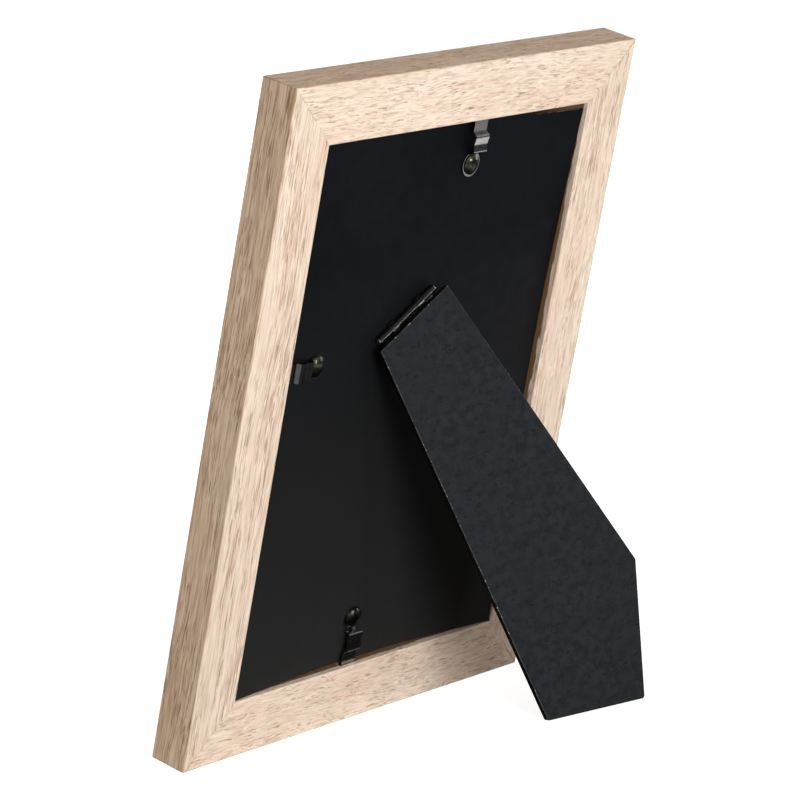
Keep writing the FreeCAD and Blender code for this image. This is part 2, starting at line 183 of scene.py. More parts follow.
# Each rail with the axis it follows, the sign and start of its way along the outline, then the waves of its
# grain, its stretch, and the noise level at which pores begin: the print's grain is straight and long on the
# upright rails, wavy on the bottom rail, and short on the top one.
RAILS = {
    "rail_left": ("v", 1, 0.0, 0.6, 1.6, 0.525),
    "rail_bottom": ("u", 1, FRAME_WIDTH / 2, 4.0, 0.80, 0.575),
    "rail_top": ("u", -1, FRAME_HEIGHT - FRAME_WIDTH / 2, 2.0, 0.75, 0.575),
    "rail_right": ("v", -1, 2 * FRAME_HEIGHT - FRAME_WIDTH, 1.0, 1.2, 0.550),
}


def along_rail(tree, place, run_along, sign, start):
    """Way along the outline, distance from the outer edge, the same for the rail across the mitre, and w."""
    apart = add(tree, "SeparateXYZ", {0: place}).node.outputs
    u, v, w = apart["X"], apart["Y"], apart["Z"]
    along = u if run_along == "u" else v
    run = add(tree, "Math", {0: along, 1: float(sign), 2: start}, operation="MULTIPLY_ADD")
    across = add(tree, "Math", {0: u}, operation="ABSOLUTE")
    from_sides = add(tree, "Math", {0: FRAME_WIDTH / 2, 1: across}, operation="SUBTRACT")
    middle_up = add(tree, "Math", {0: v, 1: FRAME_HEIGHT / 2}, operation="SUBTRACT")
    up_or_down = add(tree, "Math", {0: middle_up}, operation="ABSOLUTE")
    from_ends = add(tree, "Math", {0: FRAME_HEIGHT / 2, 1: up_or_down}, operation="SUBTRACT")
    if run_along == "u":
        return run, from_ends, from_sides, w
    return run, from_sides, from_ends, w


print("outline of the frame", 2 * (FRAME_WIDTH + FRAME_HEIGHT), "mm")

# %% [markdown]
# The foil's print
#
# The recipe lays one pattern over the other, from the broadest to the finest, as the printing rollers of
# such a foil do: first the bands, then the rose and grey clouds, the streaks and the broken lines of the
# growth rings, then light flecks, fine hairs and at last the pores in their rows. The foil is rosier
# inwards of its outer edge. The outer sides are tinted warmer and a little darker, which is painted shade,
# and carry the print's streaks.

# %% Print for one rail
PORE_SIZE, DEEP_SIZE = (8.0, 0.52, 0.52), (6.5, 0.52, 0.52)      # along and across the grain, in mm
ROSY_FROM, ROSY_FULL = 5.0, 9.5              # mm inwards of the outer edge
SIDE_STREAKS = 0.22                          # how strongly the streaks show on the outer sides


def oak_print_and_side_shade(tree, grain, straight, outer, pores_from):
    """The print's tint with painted shade on the outer sides, then its masks of streaks and of pores, which
    are embossed too.
    """
    bands = flecks(tree, grain, (90, 7.0, 7.0), 0.38, 0.62)
    rose = flecks(tree, grain, (28, 3.2, 3.2), 0.46, 0.66, offset=5.0)
    cloud = flecks(tree, straight, (5.0, 9.0, 9.0), 0.45, 0.75, offset=9.0)
    streaks = flecks(tree, grain, (24, 1.0, 1.0), 0.44, 0.66, offset=2.0)
    light = flecks(tree, grain, (11, 1.3, 1.3), 0.52, 0.66, offset=4.0)
    rings = flecks(tree, grain, (34, 3.0, 3.0), 0.0, 1.0, detail=1.0, offset=6.0)
    dashed = flecks(tree, grain, (10, 1.6, 1.6), 0.40, 0.58, offset=8.0)
    rows = flecks(tree, grain, (26, 4.5, 4.5), 0.36, 0.58, offset=7.0)
    hairs = flecks(tree, grain, (13, 0.42, 0.42), 0.47, 0.68, detail=1.0, offset=11.0)
    pores = flecks(tree, grain, PORE_SIZE, pores_from, pores_from + 0.07)
    deep = flecks(tree, grain, DEEP_SIZE, pores_from + 0.05, pores_from + 0.11, offset=3.0)

    inner = add(tree, "MapRange", {"Value": outer, "From Min": ROSY_FROM, "From Max": ROSY_FULL})
    rosy = add(tree, "Math", {0: rose, 1: 0.50, 2: 0.12}, operation="MULTIPLY_ADD")
    ring_side = add(tree, "Math", {0: rings, 1: 0.5}, operation="SUBTRACT")
    ring_gap = add(tree, "Math", {0: ring_side}, operation="ABSOLUTE")
    ring_line = add(tree, "MapRange", {
        "Value": ring_gap, "From Min": 0.02, "From Max": 0.09, "To Min": 1.0, "To Max": 0.0,
    })
    lined = add(tree, "Math", {0: ring_line, 1: dashed}, operation="MULTIPLY")
    in_rows = add(tree, "MapRange", {"Value": rows, "To Min": 0.20, "To Max": 0.80})
    pored = add(tree, "Math", {0: pores, 1: in_rows}, operation="MULTIPLY")
    deeper = add(tree, "Math", {0: deep, 1: rows}, operation="MULTIPLY")
    tint = laid_over(tree, CREAM, [
        (bands, 0.34, TAN), (rosy, inner, ROSE), (cloud, 0.35, GREY), (streaks, 0.35, TAN),
        (lined, 0.35, PORE), (light, 0.50, CREAM), (hairs, 0.30, PORE), (pored, 1.0, PORE),
        (deeper, 0.70, DEEP_PORE),
    ])
    side = add(tree, "MapRange", {
        "Value": outer, "From Min": 0.1, "From Max": 0.7, "To Min": 1.0, "To Max": 0.0,
    })
    side_streaks = add(tree, "Math", {0: streaks, 1: SIDE_STREAKS}, operation="MULTIPLY")
    # The outer sides are multiplied by a warm tint: painted shade.
    tint = add(tree, "Mix", {0: side, 6: tint, 7: SHADED_SIDE_TINT}, out=2, data_type="RGBA", blend_type="MULTIPLY")
    return laid_over(tree, tint, [(side, side_streaks, PORE)]), streaks, pored


print("pores drawn", PORE_SIZE[0], "by", PORE_SIZE[1], "mm, deep ones", DEEP_SIZE[0], "by", DEEP_SIZE[1])

# %% [markdown]
# Where two foils meet, and where a foil ends
#
# At a mitre two foils meet, and where the joint opens towards the outer corner a thin dark line is left.
# The slots for the clips are milled through the foil and show raw brown fibreboard, and so does the
# deeper part of each inner wall, where the foil's ragged edge ends. The line and the raw places could be
# separate thin pieces, but they have no thickness of their own, so they are masks, measured from the
# outer edge and from the back.

# %% Mitre line and raw fibreboard
SEAM_CORE, SEAM_EDGE = 0.10, 0.38            # how far the ways to the two outer edges differ in the line
SEAM_WIDE, SEAM_CLOSED = 5.0, 15.0           # mm inwards of the outer edge, where it is darkest and faintest
SLOT_ROOF = -1.5                             # w above which no slot is milled
FOIL_END, FOIL_GONE, FOIL_FRAY = -1.8, -2.1, 0.9     # w of its edge on the inner wall, and its raggedness


def mitre_line(tree, place, outer, other):
    """Mask of the dark line at the mitres, broken here and there."""
    difference = add(tree, "Math", {0: other, 1: outer}, operation="SUBTRACT")
    apart_by = add(tree, "Math", {0: difference}, operation="ABSOLUTE")
    seam = add(tree, "MapRange", {
        "Value": apart_by, "From Min": SEAM_CORE, "From Max": SEAM_EDGE, "To Min": 1.0, "To Max": 0.0,
    })
    opened = add(tree, "MapRange", {
        "Value": outer, "From Min": SEAM_WIDE, "From Max": SEAM_CLOSED, "To Min": 0.75, "To Max": 0.12,
    })
    broken = flecks(tree, place, (6, 6, 6), 0.30, 0.55, offset=3.0)
    strength = add(tree, "Math", {0: opened, 1: broken}, operation="MULTIPLY")
    return add(tree, "Math", {0: seam, 1: strength}, operation="MULTIPLY")


def raw_places(tree, place, outer, w):
    """Masks of the milled slots and of the inner wall below the foil's ragged edge."""
    inside = add(tree, "MapRange", {
        "Value": outer, "From Min": RAIL_WALL - 0.06, "From Max": RAIL_WALL - 0.02,
        "To Min": 1.0, "To Max": 0.0,
    })
    past_middle = add(tree, "Math", {0: outer, 1: RAIL_WALL / 2}, operation="GREATER_THAN")
    under = add(tree, "Math", {0: w, 1: SLOT_ROOF}, operation="LESS_THAN")
    behind = add(tree, "Math", {0: w, 1: LIP_BACK}, operation="GREATER_THAN")
    in_wall = add(tree, "Math", {0: inside, 1: past_middle}, operation="MULTIPLY")
    in_depth = add(tree, "Math", {0: under, 1: behind}, operation="MULTIPLY")
    milled = add(tree, "Math", {0: in_wall, 1: in_depth}, operation="MULTIPLY")
    on_wall = add(tree, "MapRange", {
        "Value": outer, "From Min": RAIL_WALL - 0.12, "From Max": RAIL_WALL - 0.04,
    })
    fray = flecks(tree, place, (9, 9, 1.2), 0.2, 0.8)
    ragged = add(tree, "Math", {0: fray, 1: FOIL_FRAY, 2: w}, operation="MULTIPLY_ADD")
    bare = add(tree, "MapRange", {
        "Value": ragged, "From Min": FOIL_GONE, "From Max": FOIL_END, "To Min": 1.0, "To Max": 0.0,
    })
    bare = add(tree, "Math", {0: bare, 1: behind}, operation="MULTIPLY")
    return milled, add(tree, "Math", {0: on_wall, 1: bare}, operation="MULTIPLY")


print("mitre line up to", round(math.sqrt(2) * SEAM_EDGE, 2), "mm wide")
print("foil ends between", -FOIL_END, "and", round(FOIL_FRAY - FOIL_GONE, 1), "mm down the inner walls")

# %% [markdown]
# The foil on its rail
#
# The print, the mitre's line and the raw places come together in one material for each rail. The pores
# are embossed, so they are a little duller and deeper than the rest, and milled fibreboard has hardly any
# sheen.

# %% Foil for each rail
def oak_foil(name, run_along, sign, start, wave, stretch, pores_from):
    """Foil for one rail. Its grain waves by up to about a third of wave, in millimetres."""
    made, tree, shader = start_finish(name, Roughness=0.5, IOR=1.5)
    place = board_place(tree)
    run, outer, other, w = along_rail(tree, place, run_along, sign, start)
    straight = add(tree, "CombineXYZ", {"X": run, "Y": outer, "Z": w})
    bend = flecks(tree, straight, (80, 40, 40), 0.0, 1.0, detail=1.0)
    ripple = flecks(tree, straight, (24, 16, 16), 0.0, 1.0, detail=1.0)
    rippled = add(tree, "Math", {0: ripple, 1: wave}, operation="MULTIPLY")
    drift = add(tree, "Math", {0: bend, 1: 5.0, 2: rippled}, operation="MULTIPLY_ADD")
    grain = add(tree, "CombineXYZ", {
        "X": add(tree, "Math", {0: run, 1: stretch}, operation="DIVIDE"),
        "Y": add(tree, "Math", {0: outer, 1: drift}, operation="ADD"),
        "Z": add(tree, "Math", {0: w, 1: drift}, operation="ADD"),
    })
    tint, streaks, pored = oak_print_and_side_shade(tree, grain, straight, outer, pores_from)
    milled, bare_wall = raw_places(tree, place, outer, w)
    chips = flecks(tree, place, (0.5, 0.5, 0.5), 0.3, 0.7)
    raw_board = add(tree, "Mix", {0: chips, 6: FIBREBOARD, 7: FIBRE_CHIPS}, out=2, data_type="RGBA")
    seam = mitre_line(tree, place, outer, other)
    tint = laid_over(tree, tint, [(seam, 1.0, SEAM), (bare_wall, 1.0, raw_board), (milled, 1.0, raw_board)])
    tree.links.new(tint, shader.inputs["Base Color"])

    dull = add(tree, "MapRange", {"Value": pored, "To Min": 0.46, "To Max": 0.66})
    tree.links.new(add(tree, "Math", {0: dull, 1: milled}, operation="MAXIMUM"), shader.inputs["Roughness"])
    embossed = add(tree, "Math", {0: pored, 1: 2.0}, operation="MULTIPLY")
    relief = add(tree, "Math", {0: streaks, 1: embossed}, operation="ADD")
    bump = add(tree, "Bump", {"Strength": 0.4, "Distance": 0.05 * MM, "Height": relief}, invert=True)
    tree.links.new(bump, shader.inputs["Normal"])
    return made


for rail, grain_facts in RAILS.items():
    finish_parts(oak_foil("oak_foil_on_" + rail, *grain_facts), rail)

# %% [markdown]
# A backboard that bows
#
# The backboard is thin hardboard. The four clips press it in at the middle of each side, and with time
# its corners spring out, which shows from behind: its surface meets the rails higher near the corners.
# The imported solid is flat, so a bowed one stands for it. It starts from a copy of the solid's mesh, holes
# included, which is cut into a grid, because only points can move, and each point is lifted by a smooth
# function of its place.

# %% Lift the corners
TOP_LIFT, BOTTOM_LIFT = 2.5, 3.8             # of the corners, in millimetres
FLAT_ACROSS, FLAT_UP = 18.0, 27.0            # half sizes of the flat cross under the clips and the hinge
HALF_ACROSS, HALF_UP = 74.5, 105.5           # half sizes of the board
LATE_ACROSS, LATE_UP = 1.3, 1.2              # how late the bow sets in towards the sides and the ends
GRID_STEP = 6
GRID_ACROSS, GRID_UP = range(-72, 73, GRID_STEP), range(28, 232, GRID_STEP)      # u and v of the cuts


def lift(u, v):
    """How far the board springs out at a place, in millimetres."""
    up = v - FRAME_HEIGHT / 2
    beside = max(0.0, abs(u) - FLAT_ACROSS) / (HALF_ACROSS - FLAT_ACROSS)
    beyond = max(0.0, abs(up) - FLAT_UP) / (HALF_UP - FLAT_UP)
    return (TOP_LIFT if up > 0 else BOTTOM_LIFT) * beside ** LATE_ACROSS * beyond ** LATE_UP


grid = bmesh.new()
grid.from_mesh(parts["backboard"].data)
bmesh.ops.remove_doubles(grid, verts=grid.verts, dist=SAME_POINT)
cuts = [(u, 0, Vector((1, 0, 0))) for u in GRID_ACROSS] + [(0, v, UP) for v in GRID_UP]
for u, v, way in cuts:
    through = BOARD_ORIGIN * MM + TO_BOARD.inverted() @ Vector((u, v, 0)) * MM
    whole = grid.verts[:] + grid.edges[:] + grid.faces[:]
    bmesh.ops.bisect_plane(grid, geom=whole, plane_co=through, plane_no=way)
for point in grid.verts:
    u, v, w = TO_BOARD @ (point.co / MM - BOARD_ORIGIN)
    point.co += OUT * lift(u, v) * MM
for face in grid.faces:
    face.smooth = True
bowed_mesh = bpy.data.meshes.new("bowed_backboard")
grid.to_mesh(bowed_mesh)
grid.free()
bowed_mesh.set_sharp_from_angle(angle=math.radians(30))
bowed = bpy.data.objects.new("bowed_backboard", bowed_mesh)
bpy.context.scene.collection.objects.link(bowed)
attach(bowed, "frame")
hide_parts("backboard")
print("bowed backboard", len(bowed_mesh.vertices), "points")
print("top corners out by", TOP_LIFT, "mm, bottom ones by", BOTTOM_LIFT, "mm")

# %% [markdown]
# Black lacquer
#
# The smooth side of the hardboard is rolled with a thin black lacquer. It hides the fibres but not their
# waviness, so the eye sees an almost even black with a faint sheen. It is lighter towards the bottom and
# mirrors less than a clean gloss would. The cut edges are brown fibre under a wipe of black, rubbed
# pale where they touched the rails, most of all along the top near its right corner. There a brown band
# runs along the top: raw fibre brown with painted shade, standing for a gap at the rail. A Bevel modifier
# breaks the edges and gives the broken edge its own material slot.
# It is clamped by the short sides of the grid, so what it makes is only a hairline, a few hundredths of a
# millimetre wide.

# %% The backboard's lacquer and its rubbed edge
BOARD_TOP = FRAME_HEIGHT / 2 + HALF_UP       # v of its top edge
LIGHTER_FROM, LIGHTEST_AT = 190.0, 20.0           # v where it starts to lighten and where it is lightest
STRIP_FROM, STRIP_FULL = BOARD_TOP - 2.0, BOARD_TOP - 1.5      # v of the brown band: raw fibre with the painted shade of a gap
RUBBED_AND_SHADED_FROM, RUBBED_AND_SHADED_FULL = 44.0, 66.0        # u towards the right corner

lacquer, tree, shader = start_finish("black_lacquer_on_hardboard", IOR=1.5, Specular_IOR_Level=0.06)
place = board_place(tree)
apart = add(tree, "SeparateXYZ", {0: place}).node.outputs
cloud = flecks(tree, place, (40, 40, 40), 0.3, 0.7)
speck = flecks(tree, place, (1.1, 1.1, 1.1), 0.68, 0.80, detail=3.0)
# Lighter towards the bottom.
lighter_low_down = add(tree, "MapRange", {"Value": apart["Y"], "From Min": LIGHTER_FROM, "From Max": LIGHTEST_AT})
# Brown band along the top near the right corner: raw fibre brown with painted shade, standing for a gap at
# the rail.
strip = add(tree, "MapRange", {"Value": apart["Y"], "From Min": STRIP_FROM, "From Max": STRIP_FULL})
corner = add(tree, "MapRange", {"Value": apart["X"], "From Min": RUBBED_AND_SHADED_FROM, "From Max": RUBBED_AND_SHADED_FULL})
over_strip = add(tree, "Math", {0: apart["Y"], 1: STRIP_FROM}, operation="SUBTRACT")
from_line = add(tree, "Math", {0: over_strip}, operation="ABSOLUTE")
line = add(tree, "MapRange", {
    "Value": from_line, "From Min": 0.08, "From Max": 0.30, "To Min": 1.0, "To Max": 0.0,
})
fray = flecks(tree, place, (4.0, 1.0, 1.0), 0.42, 0.70, detail=6.0)
corner_line = add(tree, "Math", {0: line, 1: corner}, operation="MULTIPLY")
tint = laid_over(tree, colour("070A0E"), [
    (cloud, 1.0, colour("0B0E13")), (speck, 0.5, colour("242525")), (lighter_low_down, 1.0, colour("272727")),
    (strip, corner, colour("4F3F2E")), (corner_line, fray, colour("6E6858")),
])
tree.links.new(tint, shader.inputs["Base Color"])
sheen = flecks(tree, place, (6, 6, 6), 0.3, 0.7, detail=3.0)
tree.links.new(add(tree, "MapRange", {"Value": sheen, "To Min": 0.42, "To Max": 0.52}),
               shader.inputs["Roughness"])
waves = flecks(tree, place, (1.6, 1.6, 1.6), 0.2, 0.8, detail=3.0)
tree.links.new(add(tree, "Bump", {"Strength": 0.2, "Distance": 0.03 * MM, "Height": waves}),
               shader.inputs["Normal"])

board_edge, tree, shader = start_finish("rubbed_hardboard_edge", IOR=1.5, Roughness=0.7,
                                        Specular_IOR_Level=0.1)
place = board_place(tree)
wipe = flecks(tree, place, (8, 8, 8), 0.35, 0.65, detail=4.0)
tint = add(tree, "Mix", {0: wipe, 6: colour("211B16"), 7: colour("7A6A58")}, out=2, data_type="RGBA")
tree.links.new(tint, shader.inputs["Base Color"])

bowed_mesh.materials.append(lacquer)
bowed_mesh.materials.append(board_edge)
edge = bowed.modifiers.new("rubbed_edge", "BEVEL")
edge.width, edge.segments = 0.2 * MM, 2
edge.limit_method, edge.angle_limit = "ANGLE", math.radians(50)
edge.material = 1
bowed.modifiers.new("flat_faces", "WEIGHTED_NORMAL").keep_sharp = False
print("backboard edges broken by at most", round(edge.width / MM, 2), "mm, a hairline where clamped")

# %% [markdown]
# The leg's black paper
#
# The leg is the same board, covered in black paper with a mottled, fibrous face. Its cut edges are
# darker, almost black, and a lighter grey with pale spots runs along them. The solid has sharp edges, so a
# Bevel modifier breaks them by a quarter of a millimetre and gives the chamfer its own material slot, which
# is where the lighter grey goes. It isn't clamped, because the short sides of the rounded corners would
# keep it far too narrow all round.

# %% Paper face and worn edges
paper, tree, shader = start_finish("black_paper_on_board", IOR=1.45, Specular_IOR_Level=0.12)
place = board_place(tree)
mottle = flecks(tree, place, (3.4, 3.4, 3.4), 0.36, 0.64, detail=4.0)
patch = flecks(tree, place, (22, 22, 22), 0.3, 0.7)
fibre = flecks(tree, place, (0.5, 0.5, 0.5), 0.4, 0.7, detail=3.0)
dark_fleck = flecks(tree, place, (3.6, 2.0, 2.0), 0.58, 0.70, offset=5.0)

LEG_ANGLE = math.radians(22)                     # between the open leg and the backboard
hinge = next(joint for joint in frame["joints"] if joint["name"] == "leg_hinge")
tilts = [Quaternion(Vector(hinge["axis"]), angle) @ OUT for angle in (LEG_ANGLE, -LEG_ANGLE)]
LEG_OUT = max(tilts, key=lambda way: way.z)      # out of the leg's back, which looks upwards
turned_to = add(tree, "VectorMath", {0: add(tree, "TexCoord", out="Normal"), 1: LEG_OUT}, out="Value",
                operation="DOT_PRODUCT")
facing = add(tree, "Math", {0: turned_to}, operation="ABSOLUTE")
# The faces across the leg's back, its cut edges, are darker, almost black.
cut_edge = add(tree, "MapRange", {
    "Value": facing, "From Min": 0.3, "From Max": 0.6, "To Min": 1.0, "To Max": 0.0,
})
tint = laid_over(tree, colour("161A1E"), [
    (mottle, 1.0, colour("262A2E")), (patch, 0.5, colour("1F2224")), (fibre, 0.35, colour("2E3235")),
    (dark_fleck, 0.6, colour("111315")), (cut_edge, 1.0, colour("0B0C0C")),
])
tree.links.new(tint, shader.inputs["Base Color"])
tree.links.new(add(tree, "MapRange", {"Value": mottle, "To Min": 0.62, "To Max": 0.78}),
               shader.inputs["Roughness"])
tree.links.new(add(tree, "Bump", {"Strength": 0.5, "Distance": 0.06 * MM, "Height": fibre}),
               shader.inputs["Normal"])

# The chamfer along the edges is a lighter grey with pale spots.
grey_chamfer, tree, shader = start_finish("grey_paper_chamfer", IOR=1.45, Roughness=0.7, Specular_IOR_Level=0.3)
place = board_place(tree)
edge_blotches = flecks(tree, place, (5.0, 5.0, 5.0), 0.36, 0.58, detail=4.0)
spots = flecks(tree, place, (0.9, 0.9, 0.9), 0.62, 0.70, detail=3.0)
tint = laid_over(tree, colour("26292B"), [(edge_blotches, 1.0, colour("494945")), (spots, 1.0, colour("B4AEA2"))])
tree.links.new(tint, shader.inputs["Base Color"])

finish_parts(paper, "easel_leg")
leg = parts["easel_leg"]
leg.data.materials.append(grey_chamfer)
weld = leg.modifiers.new("joined_edges", "WELD")
weld.merge_threshold = SAME_POINT
fold = leg.modifiers.new("chamfered_edges", "BEVEL")
fold.width, fold.segments = 0.25 * MM, 1
fold.limit_method, fold.angle_limit = "ANGLE", math.radians(40)
fold.use_clamp_overlap, fold.loop_slide = False, False
fold.material = 1
leg.modifiers.new("flat_faces", "WEIGHTED_NORMAL").keep_sharp = False
print("leg edges broken by", round(fold.width / MM, 2), "mm, its back looks", [round(c, 3) for c in LEG_OUT])

# %% [markdown]
# Plated spring clips
#
# The turn-clips are bent from spring steel strip and plated in black nickel: a neutral grey metal, which
# mirrors light and dark things alike, a little blurred by the strip's rolling marks and dulled in spots
# by tarnish. The marks run along each clip, so the upright and the sideways pair have a plating each. The
# sideways pair is painted darker, as painted shade for the dark things it mirrors. What the eye sees is
# mostly what the bends mirror, so the surroundings matter as much as the metal, and the floor below is
# made for it.

# %% Black nickel
def black_nickel(name, run_along, dark, bright, dull):
    """Plating whose rolling marks run along u or v, with its darker and brighter mark and its tarnish."""
    made, tree, shader = start_finish(name, Metallic=1.0)
    place = board_place(tree)
    size = (9.0, 0.25, 0.25) if run_along == "u" else (0.25, 9.0, 0.25)
    rolled = flecks(tree, place, size, 0.3, 0.7)
    tarnish = flecks(tree, place, (3.0, 3.0, 3.0), 0.45, 0.75, detail=4.0)
    tint = laid_over(tree, colour(dark), [(rolled, 1.0, colour(bright)), (tarnish, 0.5, colour(dull))])
    tree.links.new(tint, shader.inputs["Base Color"])
    tree.links.new(add(tree, "MapRange", {"Value": rolled, "To Min": 0.12, "To Max": 0.20}),
                   shader.inputs["Roughness"])
    tree.links.new(add(tree, "Bump", {"Strength": 0.15, "Distance": 0.01 * MM, "Height": rolled}),
                   shader.inputs["Normal"])
    return made


finish_parts(black_nickel("black_nickel_rolled_upright", "v", "A2A2A5", "B8B8BB", "757470"),
             "clip_top", "clip_bottom")
# The sideways pair's darker colours are painted shade.
finish_parts(black_nickel("black_nickel_rolled_sideways_painted_darker", "u", "525154", "626164", "3E3D3A"),
             "clip_left", "clip_right")

# %% [markdown]
# Rivets turned from an outline
#
# Each clip turns on a domed rivet. The solid dome has three bands, and close to it the bands would show,
# so a smoother rivet stands for it: a half outline spun round the rivet's axis, as a lathe or a heading
# die makes it. The outline has a small upright edge, because a pressed head never ends in a knife edge.

# %% Spin and place the rivets
def turned(name, outline, foot, axis, steps=64):
    """Piece spun from an outline of (radius, height) in millimetres, standing on foot along axis."""
    mesh = bpy.data.meshes.new(name)
    shape = bmesh.new()
    points = [shape.verts.new((r * MM, 0, h * MM)) for r, h in outline]
    lines = [shape.edges.new(pair) for pair in zip(points, points[1:])]
    bmesh.ops.spin(shape, geom=points + lines, cent=(0, 0, 0), axis=(0, 0, 1), angle=math.tau,
                   steps=steps)
    bmesh.ops.remove_doubles(shape, verts=shape.verts, dist=SAME_POINT)
    bmesh.ops.recalc_face_normals(shape, faces=shape.faces)
    # The spin gives its faces in another order each time, so they are handed on in a fixed one.
    shape.verts.index_update()
    faces = []
    for face in shape.faces:
        corners = [point.index for point in face.verts]
        first = corners.index(min(corners))
        faces.append(corners[first:] + corners[:first])
    mesh.from_pydata([point.co for point in shape.verts], [], sorted(faces), shade_flat=False)
    shape.free()
    mesh.set_sharp_from_angle(angle=math.radians(35))
    piece = bpy.data.objects.new(name, mesh)
    bpy.context.scene.collection.objects.link(piece)
    piece.matrix_world = Matrix.Translation(foot) @ axis.to_track_quat("Z", "Y").to_matrix().to_4x4()
    return piece


HEAD_LEVEL, HEAD_RADIUS, HEAD_HEIGHT, HEAD_EDGE = 0.7, 4.0, 1.35, 0.25      # over the board's back
SHANK_RADIUS, FLARE_LEVEL, FOOT_LEVEL, FOOT_RADIUS = 1.5, -1.6, -2.5, 2.7    # through it, sunk in front
DOME_STEPS = 12
crown = HEAD_HEIGHT - HEAD_EDGE
ball = (HEAD_RADIUS ** 2 + crown ** 2) / (2 * crown)
reach = math.asin(HEAD_RADIUS / ball)
dome = []
for step in range(DOME_STEPS + 1):
    angle = reach * step / DOME_STEPS
    dome.append((ball * math.sin(angle), HEAD_LEVEL + HEAD_HEIGHT - ball * (1 - math.cos(angle))))
head_underside = [(HEAD_RADIUS, HEAD_LEVEL + 0.02), (HEAD_RADIUS - 0.05, HEAD_LEVEL)]
shank = [(SHANK_RADIUS, HEAD_LEVEL), (SHANK_RADIUS, FLARE_LEVEL)]
sunk_foot = [(FOOT_RADIUS, FOOT_LEVEL), (0, FOOT_LEVEL)]
rivet_outline = dome + head_underside + shank + sunk_foot

polished, tree, shader = start_finish("black_nickel_pressed_dome", Metallic=1.0)
place = board_place(tree)
pressed = flecks(tree, place, (1.2, 1.2, 1.2), 0.35, 0.70, detail=4.0)
tint = add(tree, "Mix", {0: pressed, 6: colour("55554A"), 7: colour("37372E")}, out=2, data_type="RGBA")
tree.links.new(tint, shader.inputs["Base Color"])
tree.links.new(add(tree, "MapRange", {"Value": pressed, "To Min": 0.20, "To Max": 0.34}),
               shader.inputs["Roughness"])

for joint in frame["joints"]:
    if joint["name"].endswith("_turn"):
        side = joint["name"].removeprefix("clip_").removesuffix("_turn")
        piece = turned("rivet_" + side, rivet_outline, Vector(joint["pos_m"]), Vector(joint["axis"]))
        piece.data.materials.append(polished)
        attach(piece, "frame")
        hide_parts("clip_rivet_" + side)
        print("rivet", side, [round(c / MM, 1) for c in joint["pos_m"]])

# %% [markdown]
# Enamelled hinge
#
# The leaves are stamped and rolled from sheet steel, then dipped in black enamel. Enamel runs into a
# smooth glossy skin, so the round barrel carries one long bright line, broken where one knuckle ends and
# the next begins. It is rubbed thin in small spots, and the ends of the pin, hammered after the dip, are
# bare.

# %% Enamel and bare steel
enamel, tree, shader = start_finish("black_enamel_on_steel", IOR=1.5, Specular_IOR_Level=0.5)
place = board_place(tree)
runs = flecks(tree, place, (3.0, 3.0, 3.0), 0.3, 0.7)
scuffs = flecks(tree, place, (0.7, 0.7, 0.7), 0.66, 0.74, detail=4.0)
tint = add(tree, "Mix", {0: scuffs, 6: colour("0B0B0C"), 7: colour("3A3A3A")}, out=2, data_type="RGBA")
tree.links.new(tint, shader.inputs["Base Color"])
tree.links.new(add(tree, "MapRange", {"Value": runs, "To Min": 0.16, "To Max": 0.30}),
               shader.inputs["Roughness"])
finish_parts(enamel, "hinge_board_leaf", "hinge_leg_leaf", "hinge_rivets")

steel, tree, shader = start_finish("hammered_steel_pin", Metallic=1.0)
place = board_place(tree)
dents = flecks(tree, place, (0.6, 0.6, 0.6), 0.3, 0.7)
tint = add(tree, "Mix", {0: dents, 6: colour("B4B2AE"), 7: colour("7E7C78")}, out=2, data_type="RGBA")
tree.links.new(tint, shader.inputs["Base Color"])
tree.links.new(add(tree, "MapRange", {"Value": dents, "To Min": 0.25, "To Max": 0.45}),
               shader.inputs["Roughness"])
tree.links.new(add(tree, "Bump", {"Strength": 0.5, "Distance": 0.05 * MM, "Height": dents}),
               shader.inputs["Normal"])
finish_parts(steel, "hinge_pin")

# %% [markdown]
# Glass, card and hidden keys
#
# The pane is plain float glass, faintly green, with the slight waviness of the float bath. Sharp
# refraction costs many samples, so shadow rays and scattered rays pass the pane straight on, which lights
# the card as real glass does. The card is uncoated and blank, and its faces stand back from the solid's
# by 0.03 mm, because paper never clings to glass and faces in one plane flicker. The beech keys in the
# mitres are finished too, though hidden.

# %% Front and hidden pieces
glass, tree, shader = start_finish("float_glass", IOR=1.52, Transmission_Weight=1.0, Roughness=0.0)
place = board_place(tree)
bath = flecks(tree, place, (50, 50, 50), 0.0, 1.0, detail=1.0)
tint = add(tree, "Mix", {0: bath, 6: colour("FBFDFC"), 7: colour("F7FBF9")}, out=2, data_type="RGBA")
tree.links.new(tint, shader.inputs["Base Color"])
tree.links.new(add(tree, "Bump", {"Strength": 0.1, "Distance": 0.02 * MM, "Height": bath}),
               shader.inputs["Normal"])
kinds = add(tree, "LightPath").node.outputs
straight_on = add(tree, "Math", {0: kinds["Is Shadow Ray"], 1: kinds["Is Diffuse Ray"]}, operation="MAXIMUM")
passed = add(tree, "MixShader", {0: straight_on, 1: shader.outputs[0], 2: add(tree, "BsdfTransparent")})
tree.links.new(passed, tree.nodes["Material Output"].inputs["Surface"])
finish_parts(glass, "glass_pane")

